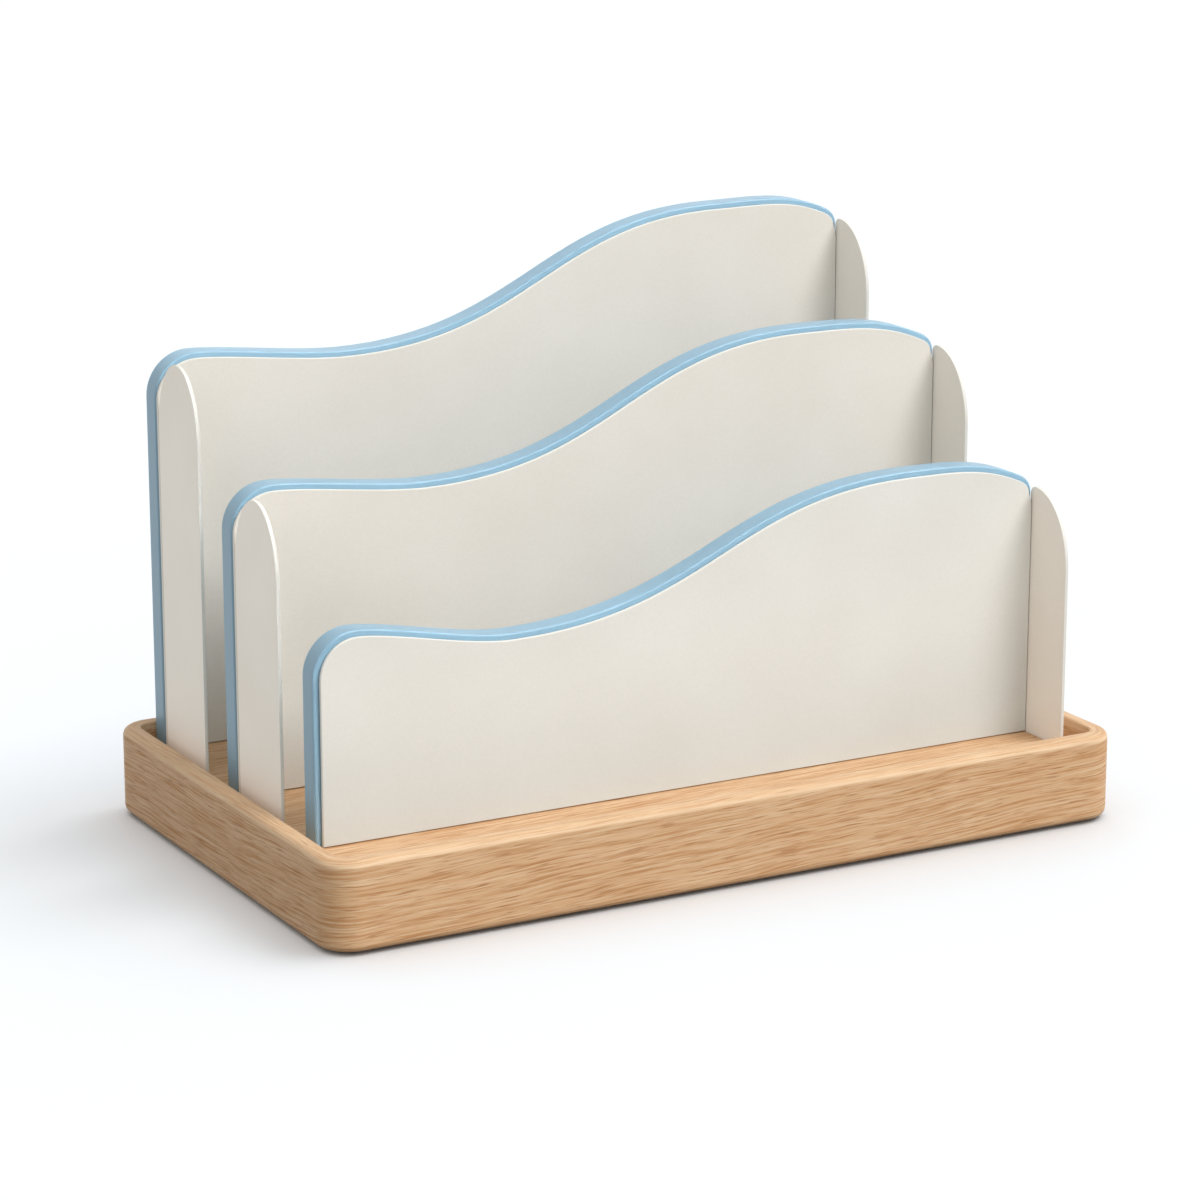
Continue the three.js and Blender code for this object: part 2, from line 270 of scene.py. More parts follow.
def line(name, points, closed):
    """Mesh of straight edges from point to point."""
    clear_selection()
    bpy.ops.curve.primitive_bezier_curve_add()
    drawing = bpy.context.object
    drawing.name = name
    drawing.data.splines.clear()
    spline = drawing.data.splines.new("POLY")
    spline.points.add(len(points) - 1)
    for point, place in zip(spline.points, points):
        point.co = (*place, 1.0)
    spline.use_cyclic_u = closed
    bpy.ops.object.convert(target="MESH")
    piece = bpy.context.object
    apply_place(piece)
    return piece


def plate(name, outline, axis, start, stop, rim_radius):
    """Plate cut to an outline in the other two axes, extruded along an axis, with round rims."""
    piece = line(name, [(*point[:axis], start, *point[axis:]) for point in outline], closed=True)
    edit(piece)
    bpy.ops.mesh.select_all(action="SELECT")
    bpy.ops.mesh.edge_face_add()
    step = Vector((0, 0, 0))
    step[axis] = stop - start
    bpy.ops.mesh.extrude_region_move(TRANSFORM_OT_translate={"value": step})
    bpy.ops.mesh.select_all(action="SELECT")
    bpy.ops.mesh.normals_make_consistent(inside=False)
    for plane in (start, stop):
        pick(piece, "edges", level(axis, plane))
        round_edges(rim_radius, FINE_EDGE_SEGMENTS, clamp_overlap=False)
    leave_edit()
    return piece


def cut(piece, cutters):
    """Cuts the cutters out of a piece, one after the other, and removes them."""
    for cutter in cutters:
        activate(piece)
        hollow = piece.modifiers.new("cut", "BOOLEAN")
        hollow.operation = "DIFFERENCE"
        hollow.solver = "EXACT"
        hollow.object = cutter
        bpy.ops.object.modifier_apply(modifier=hollow.name)
        bpy.data.objects.remove(cutter, do_unlink=True)


def finish_surface(piece):
    """Smooths the round edges and keeps the flat faces flat."""
    activate(piece)
    bpy.ops.object.shade_smooth_by_angle(angle=SHARP_ANGLE)
    steady = piece.modifiers.new("steady", "WEIGHTED_NORMAL")
    steady.keep_sharp = True
    steady.weight = 100
    bpy.ops.object.modifier_apply(modifier=steady.name)


def dress(piece, node, material):
    """Lets a piece stand for its CAD node, with its finish."""
    piece.data.materials.clear()
    piece.data.materials.append(material)
    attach(piece, "root")
    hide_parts(node)


def coat_rim(sheet, axis):
    """Gives a sheet's cut edge the greyer copy of the coat, painted shade, on the faces that don't look
    along the axis.
    """
    sheet.data.materials.append(CREAM_RIM_PAINTED_SHADE)
    for face in sheet.data.polygons:
        face.material_index = 1 if abs(face.normal[axis]) < SHEET_FACE else 0


# Finishes


def new_material(name):
    material = bpy.data.materials.new(name)
    material.use_nodes = True
    material.node_tree.nodes.clear()
    return material


def add(owner, kind, values=None, links=None, stops=(), **settings):
    """Adds a node with its settings, its values, the sockets that feed it and a ramp's colours."""
    node = owner.node_tree.nodes.new(kind)
    for key, value in settings.items():
        setattr(node, key, value)
    for key, value in (values or {}).items():
        node.inputs[key].default_value = value
    for key, source in (links or {}).items():
        owner.node_tree.links.new(source, node.inputs[key])
    if stops:
        elements = node.color_ramp.elements
        elements.remove(elements[-1])
        elements[0].position, elements[0].color = stops[0]
        for place, shade in stops[1:]:
            elements.new(place).color = shade
    return node


def lacquered_oak():
    """Solid oak under satin clear lacquer: warm straw ground, brown pore streaks along the grain."""
    oak = new_material("lacquered_oak")
    place = add(oak, "ShaderNodeUVMap", uv_map="grain").outputs["UV"]

    # The grain runs a little out of line with the edges and wanders by a few millimetres
    tilted = add(
        oak,
        "ShaderNodeMapping",
        {"Rotation": (0, 0, math.radians(-2.2))},
        {"Vector": place},
    ).outputs[0]
    slow = add(
        oak,
        "ShaderNodeMapping",
        {"Scale": (1 / (75 * MM), 1 / (22 * MM), 1)},
        {"Vector": tilted},
    )
    wander = add(
        oak,
        "ShaderNodeTexNoise",
        {"Scale": 1, "Detail": 2, "Roughness": 0.45},
        {"Vector": slow.outputs[0]},
    )
    grain = add(
        oak,
        "ShaderNodeVectorMath",
        {1: (0, 6.5 * MM, 0)},
        {0: wander.outputs["Color"], 2: tilted},
        operation="MULTIPLY_ADD",
    ).outputs[0]

    def streaks(length, width, detail, roughness, shift=0.0):
        stretched = add(
            oak,
            "ShaderNodeMapping",
            {"Scale": (1 / length, 1 / width, 1), "Location": (0, 0, shift)},
            {"Vector": grain},
        )
        return add(
            oak,
            "ShaderNodeTexNoise",
            {"Scale": 1, "Detail": detail, "Roughness": roughness},
            {"Vector": stretched.outputs[0]},
        ).outputs["Fac"]

    # Growth rings about 7 mm apart, brown streaks 1 mm wide and pale flecks; the pores of real oak
    # are finer than the picture shows, so they are drawn 0.45 mm wide
    rings = streaks(190 * MM, 7 * MM, 3, 0.55)
    flames = streaks(36 * MM, 0.95 * MM, 3, 0.6)
    flecks = streaks(24 * MM, 0.7 * MM, 2, 0.5, shift=3.7)
    pores = streaks(13 * MM, 0.45 * MM, 2, 0.55, shift=8.1)

    # Painted highlight: the rounded top edge of the rim is drawn paler, in place of the glint that the
    # lamps would give it
    where = add(oak, "ShaderNodeTexCoord").outputs["Object"]
    height = add(oak, "ShaderNodeSeparateXYZ", links={"Vector": where}).outputs["Z"]
    painted_highlight_band = add(
        oak,
        "ShaderNodeMapRange",
        {"From Min": PAINTED_HIGHLIGHT_FOOT, "From Max": PAINTED_HIGHLIGHT_TOP},
        {"Value": height},
    ).outputs[0]

    wood = add(
        oak,
        "ShaderNodeValToRGB",
        links={"Fac": rings},
        stops=[(0.3, colour("#ddb286")), (0.5, colour("#e3ba90")), (0.7, colour("#e9c39b"))],
    ).outputs["Color"]
    layers = (
        (flames, "#c48c5b", [(0.47, grey(0)), (0.63, grey(0.8))]),
        (flecks, "#f2d6b0", [(0.53, grey(0)), (0.66, grey(0.55))]),
        (pores, "#a56c3c", [(0.57, grey(0)), (0.67, grey(0.65))]),
        # Painted highlight along the rounded top edge of the rim
        (painted_highlight_band, "#fde2bd", [(0.35, grey(0)), (0.8, grey(0.6)), (0.97, grey(0.22))]),
    )
    for pattern, shade, cover in layers:
        mask = add(oak, "ShaderNodeValToRGB", links={"Fac": pattern}, stops=cover)
        wood = add(
            oak,
            "ShaderNodeMix",
            {MIX_OVER: colour(shade)},
            {MIX_FACTOR: mask.outputs["Color"], MIX_UNDER: wood},
            data_type="RGBA",
        ).outputs[MIX_RESULT]
    sheen = add(
        oak,
        "ShaderNodeValToRGB",
        links={"Fac": flames},
        stops=[(0.4, grey(0.42)), (0.7, grey(0.6))],
    )
    bump = add(
        oak,
        "ShaderNodeBump",
        {"Strength": 0.35, "Distance": 0.15 * MM},
        {"Height": pores},
    )
    skin = add(
        oak,
        "ShaderNodeBsdfPrincipled",
        {"IOR": 1.42, "Specular IOR Level": 0.25},
        {"Base Color": wood, "Roughness": sheen.outputs["Color"], "Normal": bump.outputs[0]},
    )
    add(oak, "ShaderNodeOutputMaterial", links={"Surface": skin.outputs[0]})
    return oak


def satin_lacquer_blue():
    """Pale blue lacquer sprayed on fibreboard: even, with a faint orange peel and a clear top coat."""
    blue = new_material("satin_lacquer_blue")
    place = add(blue, "ShaderNodeTexCoord").outputs["Object"]
    peel = add(
        blue,
        "ShaderNodeTexNoise",
        {"Scale": 1 / (6 * MM), "Detail": 1},
        {"Vector": place},
    )
    cloud = add(
        blue,
        "ShaderNodeTexNoise",
        {"Scale": 1 / (55 * MM), "Detail": 2},
        {"Vector": place},
    )
    tone = add(
        blue,
        "ShaderNodeValToRGB",
        links={"Fac": cloud.outputs["Fac"]},
        stops=[(0.3, colour("#8ab1c8")), (0.7, colour("#91b8cf"))],
    )
    sheen = add(
        blue,
        "ShaderNodeValToRGB",
        links={"Fac": cloud.outputs["Fac"]},
        stops=[(0.3, grey(0.38)), (0.7, grey(0.45))],
    )
    bump = add(
        blue,
        "ShaderNodeBump",
        {"Strength": 0.015, "Distance": 0.05 * MM},
        {"Height": peel.outputs["Fac"]},
    )
    skin = add(
        blue,
        "ShaderNodeBsdfPrincipled",
        {"IOR": 1.5, "Coat Weight": 0.24, "Coat Roughness": 0.3, "Coat IOR": 1.5},
        {
            "Base Color": tone.outputs["Color"],
            "Roughness": sheen.outputs["Color"],
            "Normal": bump.outputs[0],
        },
    )
    add(blue, "ShaderNodeOutputMaterial", links={"Surface": skin.outputs[0]})
    return blue


def matt_cream_coat(name, dark, pale, foot="#ffffff"):
    """Matt cream powder coat on sheet: a fine slantwise mottle, no gloss, and painted shade in the foot
    colour towards the foot.
    """
    coat = new_material(name)
    place = add(coat, "ShaderNodeTexCoord").outputs["Object"]
    slanted = add(
        coat,
        "ShaderNodeMapping",
        {"Rotation": (math.radians(35), math.radians(40), 0), "Scale": (1.0, 1.8, 1.0)},
        {"Vector": place},
    )
    # The texture of powder coat is finer than the picture shows, so it is drawn 1.1 mm wide
    mottle = add(
        coat,
        "ShaderNodeTexNoise",
        {"Scale": 1 / (1.1 * MM), "Detail": 2, "Roughness": 0.6},
        {"Vector": slanted.outputs[0]},
    ).outputs["Fac"]
    cloud = add(
        coat,
        "ShaderNodeTexNoise",
        {"Scale": 1 / (45 * MM), "Detail": 2},
        {"Vector": place},
    )
    # Painted shade: the coat takes on the foot colour low down and fades back to its own colour by 85
    # mm up
    height = add(coat, "ShaderNodeSeparateXYZ", links={"Vector": place}).outputs["Z"]
    painted_foot_shade = add(
        coat,
        "ShaderNodeMapRange",
        {"From Min": 24 * MM, "From Max": 85 * MM},
        {"Value": height},
        interpolation_type="SMOOTHSTEP",
    ).outputs[0]

    tone = add(
        coat,
        "ShaderNodeValToRGB",
        links={"Fac": cloud.outputs["Fac"]},
        stops=[(0.3, colour(dark)), (0.7, colour(pale))],
    ).outputs["Color"]
    layers = (
        (mottle, [(0.3, grey(0.965)), (0.7, grey(1.0))]),
        (painted_foot_shade, [(0, colour(foot)), (1, grey(1.0))]),
    )
    for pattern, shades in layers:
        layer = add(coat, "ShaderNodeValToRGB", links={"Fac": pattern}, stops=shades)
        tone = add(
            coat,
            "ShaderNodeMix",
            {MIX_FACTOR: 1.0},
            {MIX_UNDER: tone, MIX_OVER: layer.outputs["Color"]},
            data_type="RGBA",
            blend_type="MULTIPLY",
        ).outputs[MIX_RESULT]
    sheen = add(
        coat,
        "ShaderNodeValToRGB",
        links={"Fac": mottle},
        stops=[(0.3, grey(0.5)), (0.7, grey(0.62))],
    )
    bump = add(
        coat,
        "ShaderNodeBump",
        {"Strength": 0.25, "Distance": 0.08 * MM},
        {"Height": mottle},
    )
    skin = add(
        coat,
        "ShaderNodeBsdfPrincipled",
        {"IOR": 1.48},
        {"Base Color": tone, "Roughness": sheen.outputs["Color"], "Normal": bump.outputs[0]},
    )
    add(coat, "ShaderNodeOutputMaterial", links={"Surface": skin.outputs[0]})
    return coat


def zinc_plated_steel():
    """Zinc plated steel of the screws: bluish grey with a cloudy bloom that takes off the shine."""
    steel = new_material("zinc_plated_steel")
    place = add(steel, "ShaderNodeTexCoord").outputs["Object"]
    bloom = add(
        steel,
        "ShaderNodeTexNoise",
        {"Scale": 1 / (1.5 * MM), "Detail": 3},
        {"Vector": place},
    ).outputs["Fac"]
    tone = add(
        steel,
        "ShaderNodeValToRGB",
        links={"Fac": bloom},
        stops=[(0.3, colour("#a9adb2")), (0.7, colour("#c6c8ca"))],
    )
    sheen = add(
        steel,
        "ShaderNodeValToRGB",
        links={"Fac": bloom},
        stops=[(0.3, grey(0.28)), (0.7, grey(0.45))],
    )
    bump = add(
        steel,
        "ShaderNodeBump",
        {"Strength": 0.2, "Distance": 0.03 * MM},
        {"Height": bloom},
    )
    skin = add(
        steel,
        "ShaderNodeBsdfPrincipled",
        {"Metallic": 1.0},
        {
            "Base Color": tone.outputs["Color"],
            "Roughness": sheen.outputs["Color"],
            "Normal": bump.outputs[0],
        },
    )
    add(steel, "ShaderNodeOutputMaterial", links={"Surface": skin.outputs[0]})
    return steel


def pressed_felt():
    """Pressed grey wool felt: dull, flecked, with short fibres about a millimetre long."""
    felt = new_material("pressed_felt")
    place = add(felt, "ShaderNodeTexCoord").outputs["Object"]
    fibres = add(
        felt,
        "ShaderNodeTexNoise",
        {"Scale": 1 / (0.7 * MM), "Detail": 5, "Roughness": 0.7, "Distortion": 1.5},
        {"Vector": place},
    ).outputs["Fac"]
    tone = add(
        felt,
        "ShaderNodeValToRGB",
        links={"Fac": fibres},
        stops=[(0.35, colour("#4b4a48")), (0.65, colour("#6d6b68"))],
    )
    bump = add(
        felt,
        "ShaderNodeBump",
        {"Strength": 0.8, "Distance": 0.3 * MM},
        {"Height": fibres},
    )
    skin = add(
        felt,
        "ShaderNodeBsdfPrincipled",
        {"Roughness": 0.95, "Sheen Weight": 0.3},
        {"Base Color": tone.outputs["Color"], "Normal": bump.outputs[0]},
    )
    add(felt, "ShaderNodeOutputMaterial", links={"Surface": skin.outputs[0]})
    return felt


OAK = lacquered_oak()
BLUE = satin_lacquer_blue()
CREAM = matt_cream_coat("matt_cream_coat", "#e8e2d8", "#ece7de")
# The front facing is lit the most, by the tray too, so its coat is a greyer copy, painted shade, with
# more painted shade that turns it darker and cooler towards the foot
CREAM_FRONT_PAINTED_SHADE = matt_cream_coat("matt_cream_coat_front_painted_shade", "#e4e2db", "#e8e7e1", foot="#e8f0f5")
# The sheet's cut edge gets a greyer copy of the coat, painted shade that takes back some of the light
# its edge catches
CREAM_RIM_PAINTED_SHADE = matt_cream_coat("cream_coat_on_cut_edge_painted_shade", "#dedcd4", "#e3e1da")
STEEL = zinc_plated_steel()
FELT = pressed_felt()


# Tray and pads


def centre_of(node):
    low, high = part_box(node)
    return (low + high) / 2


def half_width(node):
    low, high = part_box(node)
    return (high[X] - low[X]) / 2


def screw_holes(divider, radius, low, high):
    """Cutters for one stretch of the holes of a divider's three screws."""
    holes = []
    for place in SCREW_PLACES:
        centre = centre_of(f"{divider}_screw_{place}")
        holes.append(bar("hole", radius, (centre[X], centre[Y], low), high, sides=HOLE_SIDES))
    return holes


def groove(node, top):
    """Cutter for the groove that a panel or a wing stands in."""
    low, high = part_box(node)
    reach = Vector((FIT_GAP, FIT_GAP, FIT_GAP))
    low, high = low - reach, high + reach
    high[Z] = top
    return block("groove", low, high)


def rounded_perimeter(x, y, half_x, half_y):
    """How far round the tray's outline a point lies, and how far inside it."""
    core_x, core_y = half_x - TRAY_CORNER_RADIUS, half_y - TRAY_CORNER_RADIUS
    away_x, away_y = abs(x) - core_x, abs(y) - core_y
    half_round = 2 * (core_x + core_y + TRAY_CORNER_RADIUS * math.pi / 2)
    if away_x > 0 and away_y > 0:
        along = core_x + TRAY_CORNER_RADIUS * math.atan2(away_x, away_y)
        inside = TRAY_CORNER_RADIUS - math.hypot(away_x, away_y)
    elif away_y > away_x:
        along = abs(x)
        inside = half_y - abs(y)
    else:
        along = half_round / 2 - abs(y)
        inside = half_x - abs(x)
    if y >= 0:
        along = half_round - along
    return (along if x >= 0 else -along), inside


def lay_grain(tray, half_x, half_y, floor, top):
    """Writes the map that the grain follows: round the walls, and straight along the floor."""
    mesh = tray.data
    grain = mesh.uv_layers.new(name="grain")
    half_round = 2 * (half_x + half_y - 2 * TRAY_CORNER_RADIUS + TRAY_CORNER_RADIUS * math.pi / 2)
    for face in mesh.polygons:
        centre = face.center
        middle, inside = rounded_perimeter(centre[X], centre[Y], half_x, half_y)
        flat = abs(face.normal[Z]) > LEVEL_FACE
        on_floor = flat and inside > RIM_WIDTH - ON_RECESS_FLOOR
        beneath = flat and centre[Z] < floor - 2 * GROOVE_DEPTH
        for corner in face.loop_indices:
            place = mesh.vertices[mesh.loops[corner].vertex_index].co
            if on_floor or beneath:
                grain.data[corner].uv = (place[X], place[Y] + FLOOR_GRAIN_SHIFT)
                continue
            along, depth = rounded_perimeter(place[X], place[Y], half_x, half_y)
            if along - middle > half_round:
                along -= 2 * half_round
            elif middle - along > half_round:
                along += 2 * half_round
            if inside > RIM_WIDTH - NEAR_WALL:
                up = 2 * top - place[Z] + depth
            elif place[Z] < floor / 2:
                up = place[Z] - depth
            else:
                up = place[Z] + depth
            grain.data[corner].uv = (along, up)


def make_tray():
    low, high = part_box("oak_tray")
    tray = block("milled_oak_tray", low, high)
    floor = high[Z] - RECESS_DEPTH
    half_x, half_y = high[X], high[Y]

    edit(tray)
    pick(tray, "edges", upright)
    round_edges(TRAY_CORNER_RADIUS, TRAY_CORNER_SEGMENTS)
    bpy.ops.mesh.select_mode(type="FACE")
    pick(tray, "faces", lambda face: face.normal[Z] > LEVEL_FACE)
    bpy.ops.mesh.inset(thickness=RIM_WIDTH)
    bpy.ops.mesh.extrude_region_move(TRANSFORM_OT_translate={"value": (0, 0, -RECESS_DEPTH)})
    bpy.ops.mesh.select_mode(type="EDGE")

    def inside(vertex):
        return rounded_perimeter(vertex.co[X], vertex.co[Y], half_x, half_y)[1]

    def at_outer_wall(edge):
        return all(inside(v) < NEAR_WALL for v in edge.verts)

    def at_recess_wall(edge):
        return all(abs(inside(v) - RIM_WIDTH) < AT_RECESS_WALL for v in edge.verts)

    at_top, at_foot = level(Z, high[Z]), level(Z, low[Z])
    pick(tray, "edges", lambda edge: at_top(edge) and at_outer_wall(edge))
    round_edges(TRAY_EDGE_RADIUS, TRAY_EDGE_SEGMENTS)
    pick(tray, "edges", at_foot)
    round_edges(TRAY_EDGE_RADIUS, TRAY_EDGE_SEGMENTS)
    pick(tray, "edges", lambda edge: at_top(edge) and at_recess_wall(edge))
    round_edges(RIM_INNER_RADIUS, FINE_EDGE_SEGMENTS)
    leave_edit()

    cutters = []
    below = low[Z] - CUT_PAST
    for divider in DIVIDERS:
        standing = [f"{divider}_panel", f"{divider}_wing_right"]
        if divider in WITH_LEFT_WING:
            standing.append(f"{divider}_wing_left")
        cutters += [groove(node, high[Z] + CUT_PAST) for node in standing]
        screw = f"{divider}_screw_centre"
        head_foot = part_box(screw)[0][Z]
        cutters += screw_holes(divider, SCREW_SHANK_RADIUS + FIT_GAP, below, floor + CUT_PAST)
        cutters += screw_holes(divider, half_width(screw) + FIT_GAP, below, head_foot)
    for pad in PADS:
        centre = centre_of(pad)
        foot = (centre[X], centre[Y], below)
        pad_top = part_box(pad)[1][Z]
        cutters.append(bar("pocket", half_width(pad) + FIT_GAP, foot, pad_top + FIT_GAP))
    cut(tray, cutters)
    lay_grain(tray, half_x, half_y, floor, high[Z])
    finish_surface(tray)
    dress(tray, "oak_tray", OAK)


def make_pad(node):
    low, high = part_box(node)
    centre = centre_of(node)
    pad = bar(node + "_felt", half_width(node), (centre[X], centre[Y], low[Z]), high[Z])
    edit(pad)
    pick(pad, "edges", lambda edge: not upright(edge))
    round_edges(PAD_EDGE_RADIUS, PAD_EDGE_SEGMENTS)
    leave_edit()
    finish_surface(pad)
    dress(pad, node, FELT)


# Panels, facings and wings


def arc(centre, radius_across, radius_up, start, end, steps=ARC_STEPS):
    """Points of an arc of an ellipse, in a plane that holds two of the axes."""
    points = []
    for i in range(steps + 1):
        turn = start + (end - start) * i / steps
        across = centre[0] + radius_across * math.cos(turn)
        points.append((across, centre[1] + radius_up * math.sin(turn)))
    return points


def top_edge(divider):
    """Points of a panel's wave from its left side to its right side, as x and z."""
    low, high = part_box(f"{divider}_panel")
    left, right = low[X], high[X]
    wave = DIVIDERS[divider]
    crest = Vector((left + wave["crest_from_left"], high[Z] - wave["further_rise"]))
    dip = Vector((left + DIP_FROM_LEFT, crest.y - wave["dip_drop"]))
    shoulder = Vector((left + SHOULDER_RADIUS, crest.y - wave["shoulder_drop"]))
    end_height = crest.y - wave["end_drop"]
    end_centre = Vector((right - END_REACH, end_height - END_FALL * math.cos(END_TURN)))
    end = end_centre + Vector((END_REACH * math.sin(END_TURN), END_FALL * math.cos(END_TURN)))
    to_dip, to_crest, to_end = dip.x - shoulder.x, crest.x - dip.x, end.x - crest.x
    stretches = [
        (
            shoulder,
            shoulder + Vector((SHOULDER_PULL * to_dip, 0)),
            dip - Vector((DIP_PULL_LEFT * to_dip, 0)),
            dip,
        ),
        (
            dip,
            dip + Vector((DIP_PULL_RIGHT * to_crest, 0)),
            crest - Vector((CREST_PULL_LEFT * to_crest, 0)),
            crest,
        ),
        (
            crest,
            crest + Vector((CREST_PULL_RIGHT * to_end, 0)),
            end + END_PULL * to_end * Vector((-math.cos(END_SLOPE), math.sin(END_SLOPE))),
            end,
        ),
    ]
    shoulder_centre = (shoulder.x, shoulder.y - SHOULDER_RADIUS)
    points = arc(shoulder_centre, SHOULDER_RADIUS, SHOULDER_RADIUS, math.pi, math.pi / 2)
    for stretch in stretches:
        points += [tuple(point) for point in interpolate_bezier(*stretch, WAVE_STEPS)[1:]]
    points += arc(end_centre, END_REACH, END_FALL, math.pi / 2 - END_TURN, 0)[1:]
    return points


def inset_edge(divider, points):
    """The same edge moved inwards, by the facing's own margin beside the left wing."""
    panel_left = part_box(f"{divider}_panel")[0][X]
    left_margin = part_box(f"{divider}_facing")[0][X] - panel_left
    moved = []
    for i, (x, z) in enumerate(points):
        before, after = points[max(i - 1, 0)], points[min(i + 1, len(points) - 1)]
        along = Vector((after[0] - before[0], after[1] - before[1])).normalized()
        if i == 0:
            along = Vector((0, 1))
        elif i == len(points) - 1:
            along = Vector((0, -1))
        side = left_margin if x < panel_left + SHOULDER_RADIUS - SAME_PLACE else TOP_MARGIN
        moved.append((x + along.y * side, z - along.x * TOP_MARGIN))
    return moved


def make_panel(divider):
    node = f"{divider}_panel"
    low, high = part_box(node)
    outline = [(low[X], low[Z]), *top_edge(divider), (high[X], low[Z])]
    panel = plate(f"{node}_lacquered", outline, Y, low[Y], high[Y], PANEL_EDGE_RADIUS)
    screw_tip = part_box(f"{divider}_screw_centre")[1][Z]
    foot, top = low[Z] - CUT_PAST, screw_tip + FIT_GAP
    cut(panel, screw_holes(divider, SCREW_SHANK_RADIUS + FIT_GAP, foot, top))
    finish_surface(panel)
    dress(panel, node, BLUE)


def make_sheet(node, outline, axis, coat):
    """Facing or wing cut from coated sheet, with the greyer painted-shade coat on its cut edge."""
    low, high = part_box(node)
    sheet = plate(f"{node}_sheet", outline, axis, low[axis], high[axis], SHEET_RIM_RADIUS)
    finish_surface(sheet)
    dress(sheet, node, coat)
    coat_rim(sheet, axis)


def make_facing(divider):
    node = f"{divider}_facing"
    low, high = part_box(node)
    inner = inset_edge(divider, top_edge(divider))
    relief = (high[X], inner[-1][1] - RELIEF_DEPTH)
    outline = [(inner[0][0], low[Z]), *inner, relief, (high[X], low[Z])]
    make_sheet(node, outline, Y, CREAM_FRONT_PAINTED_SHADE if divider == "front" else CREAM)


def make_right_wing(divider):
    node = f"{divider}_wing_right"
    low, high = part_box(node)
    crown = high[Y] - WING_TIP_RADIUS
    tip_centre, spring = (crown, high[Z] - WING_TIP_RADIUS), (crown, high[Z] - RIGHT_WING_RISE)
    tip = arc(tip_centre, WING_TIP_RADIUS, WING_TIP_RADIUS, 0, math.pi / 2)
    fall = arc(spring, crown - low[Y], RIGHT_WING_RISE, math.pi / 2, math.pi, FALL_STEPS)
    make_sheet(node, [(high[Y], low[Z]), *tip, *fall[1:], (low[Y], low[Z])], X, CREAM)


def make_left_wing(divider):
    node = f"{divider}_wing_left"
    low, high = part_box(node)
    middle = (low[Y] + high[Y]) / 2
    spring = (middle, high[Z] - LEFT_ARCH_RISE)
    arch = arc(spring, high[Y] - middle, LEFT_ARCH_RISE, 0, math.pi, ARCH_STEPS)
    make_sheet(node, [(high[Y], low[Z]), *arch, (low[Y], low[Z])], X, CREAM)


# Wood screws, one modelled and the rest copied


def turned_screw(node):
    """Countersunk screw at the middle of the tray, head down, with a hexagon socket."""
    low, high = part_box(node)
    head_radius = half_width(node)
    neck = low[Z] + head_radius - SCREW_SHANK_RADIUS
    profile = [
        (0, low[Z]),
        (head_radius - SCREW_EDGE_RADIUS, low[Z]),
        (head_radius, low[Z] + SCREW_EDGE_RADIUS),
        (SCREW_SHANK_RADIUS, neck + SCREW_EDGE_RADIUS),
        (SCREW_SHANK_RADIUS, high[Z] - SCREW_TIP_LENGTH),
        (0, high[Z]),
    ]
    screw = line("screw", [(radius, 0, height) for radius, height in profile], closed=False)
    edit(screw)
    bpy.ops.mesh.select_all(action="SELECT")
    bpy.ops.mesh.spin(steps=SPIN_STEPS, angle=math.tau, center=(0, 0, 0), axis=(0, 0, 1))
    bpy.ops.mesh.select_all(action="SELECT")
    bpy.ops.mesh.remove_doubles(threshold=MERGE_DISTANCE)
    bpy.ops.mesh.normals_make_consistent(inside=False)
    leave_edit()
    socket_foot = (0, 0, low[Z] - CUT_PAST)
    socket_top = low[Z] + SOCKET_DEPTH
    cut(screw, [bar("socket", SOCKET_RADIUS, socket_foot, socket_top, sides=SOCKET_SIDES)])
    finish_surface(screw)
    return screw


def make_screws():
    nodes = [f"{divider}_screw_{place}" for divider in DIVIDERS for place in SCREW_PLACES]
    screw = turned_screw(nodes[0])
    for node in nodes:
        centre = centre_of(node)
        copy = screw.copy()
        copy.data = screw.data.copy()
        copy.name = node + "_turned"
        bpy.context.collection.objects.link(copy)
        copy.data.transform(Matrix.Translation((centre[X], centre[Y], 0)))
        dress(copy, node, STEEL)
    bpy.data.objects.remove(screw, do_unlink=True)


make_tray()
for pad in PADS:
    make_pad(pad)
for divider in DIVIDERS:
    make_panel(divider)
    make_facing(divider)
    make_right_wing(divider)
    if divider in WITH_LEFT_WING:
        make_left_wing(divider)
make_screws()


# Floor, light and camera


def seen_plainly(owner):
    """Whether a ray comes from the camera, a shiny surface or glass, which all show plain white."""
    path = add(owner, "ShaderNodeLightPath")
    either = add(
        owner,
        "ShaderNodeMath",
        links={0: path.outputs["Is Camera Ray"], 1: path.outputs["Is Glossy Ray"]},
        operation="MAXIMUM",
    )
    return add(
        owner,
        "ShaderNodeMath",
        links={0: either.outputs[0], 1: path.outputs["Is Transmission Ray"]},
        operation="MAXIMUM",
    ).outputs[0]


def studio_floor():
    """Floor that looks white, throws less light back on the object, and keeps its shadow."""
    floor = new_material("studio_floor")
    lit = add(floor, "ShaderNodeBsdfDiffuse", {"Color": colour("#a0a09e")})
    shown = add(floor, "ShaderNodeBsdfDiffuse", {"Color": colour("#f7fbff")})
    mixed = add(
        floor,
        "ShaderNodeMixShader",
        links={0: seen_plainly(floor), 1: lit.outputs[0], 2: shown.outputs[0]},
    )
    add(floor, "ShaderNodeOutputMaterial", links={"Surface": mixed.outputs[0]})
    return floor


def soft_box(name, direction, energy, angle, linking, pieces):
    """Soft sun that stands for a large soft box, and that lights all but some pieces, or them alone."""
    clear_selection()
    bpy.ops.object.light_add(type="SUN", location=Vector(direction) * LAMP_DISTANCE)
    lamp = bpy.context.object
    lamp.name = name
    lamp.rotation_euler = Vector(direction).to_track_quat("Z", "Y").to_euler()
    lamp.data.energy = energy
    lamp.data.angle = math.radians(angle)
    linked = bpy.data.collections.new(name + "_linked")
    for i, piece in enumerate(pieces):
        linked.objects.link(piece)
        linked.collection_objects[i].light_linking.link_state = linking
    lamp.light_linking.receiver_collection = linked


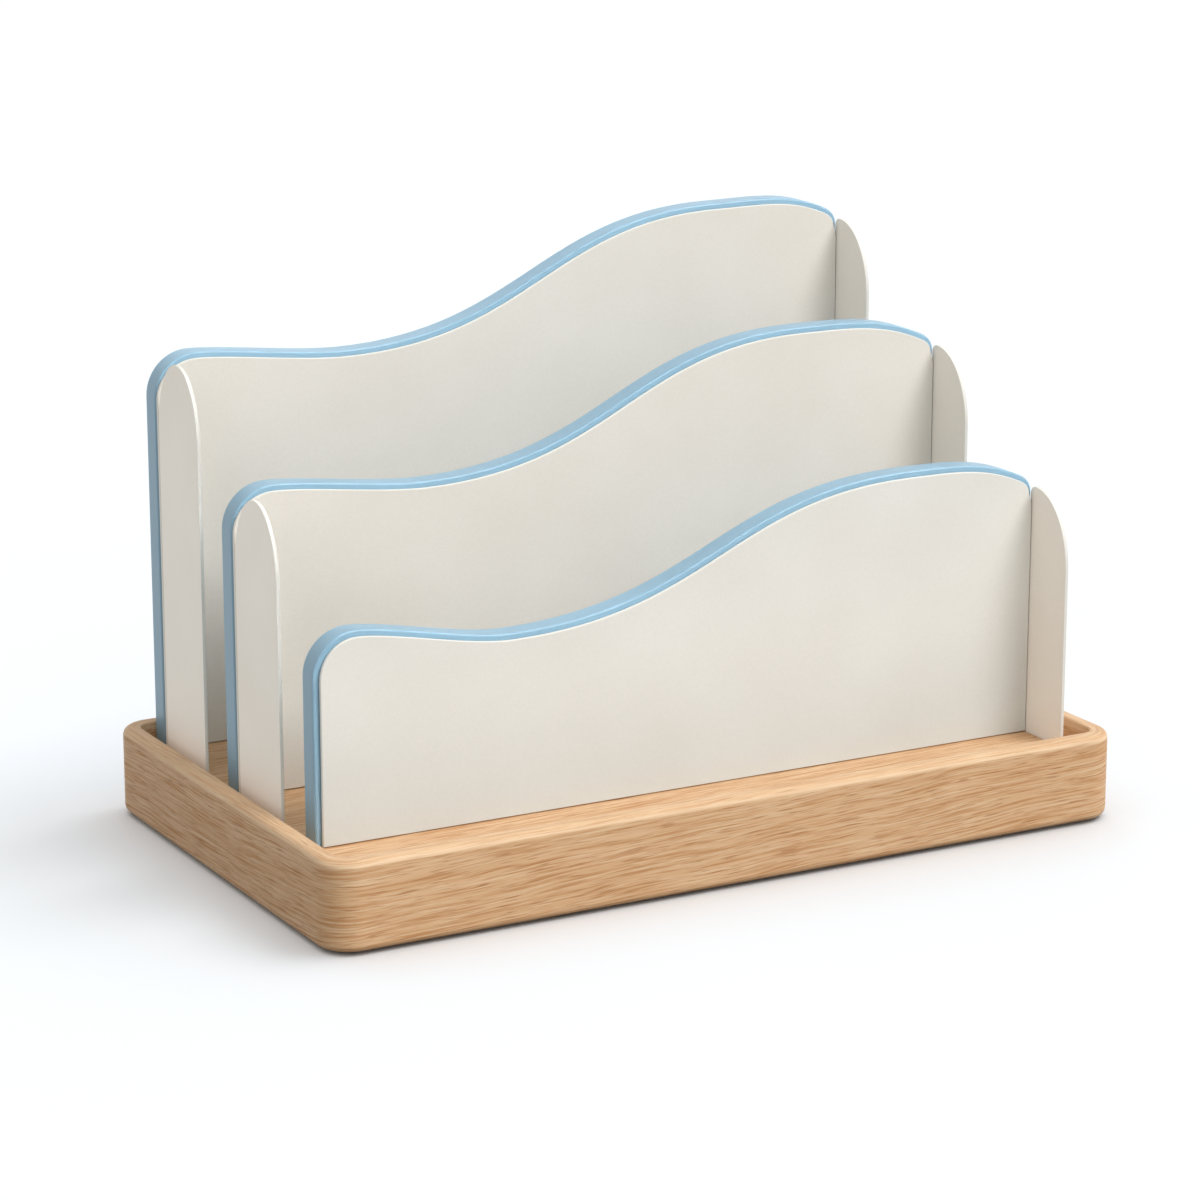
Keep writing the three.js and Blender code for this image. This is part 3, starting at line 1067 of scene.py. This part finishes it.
clear_selection()
bpy.ops.mesh.primitive_plane_add(size=FLOOR_WIDTH, location=(0, 0, 0))
floor = bpy.context.object
floor.name = "floor"
floor.data.materials.append(studio_floor())

# Five lamps light the object and leave out the floor, and two light the floor alone, for its shadow
tray = bpy.data.objects["milled_oak_tray"]
panels = [bpy.data.objects[f"{divider}_panel_lacquered"] for divider in DIVIDERS]
left_wings = [bpy.data.objects[f"{divider}_wing_left_sheet"] for divider in WITH_LEFT_WING]
soft_box("key_front_right", FROM_FRONT_RIGHT, 2.12, 32, "EXCLUDE", [floor])
soft_box("side_front_left", FROM_FRONT_LEFT, 0.65, 40, "EXCLUDE", [floor, tray, *panels])
soft_box("side_left", FROM_FRONT_LEFT, 0.55, 40, "INCLUDE", left_wings)
soft_box("front_low", FROM_FRONT_BELOW, 0.6, 40, "INCLUDE", panels)
soft_box("top_right", FROM_TOP_RIGHT, 0.65, 40, "EXCLUDE", [floor, tray])
soft_box("floor_right", FROM_TOP_RIGHT, 0.8, 40, "INCLUDE", [floor])
soft_box("floor_overhead", FROM_TOP_BEHIND, 1.2, 100, "INCLUDE", [floor])

world = bpy.data.worlds.new("studio")
bpy.context.scene.world = world
world.use_nodes = True
world.node_tree.nodes.clear()
fill = add(world, "ShaderNodeBackground", {"Color": WORLD_FILL, "Strength": WORLD_FILL_STRENGTH})
white = add(world, "ShaderNodeBackground", {"Color": grey(1.0), "Strength": 1.0})
both = add(
    world,
    "ShaderNodeMixShader",
    links={0: seen_plainly(world), 1: fill.outputs[0], 2: white.outputs[0]},
)
add(world, "ShaderNodeOutputWorld", links={"Surface": both.outputs[0]})

clear_selection()
bpy.ops.object.camera_add(location=CAMERA_PLACE)
camera = bpy.context.object
camera.name = "camera"
camera.rotation_euler = (CAMERA_TARGET - CAMERA_PLACE).to_track_quat("-Z", "Y").to_euler()
camera.data.lens = CAMERA_LENS
camera.data.sensor_width = CAMERA_SENSOR
camera.data.sensor_fit = "HORIZONTAL"
camera.data.clip_end = CAMERA_REACH
bpy.context.scene.camera = camera
bpy.context.scene.view_settings.view_transform = "Standard"
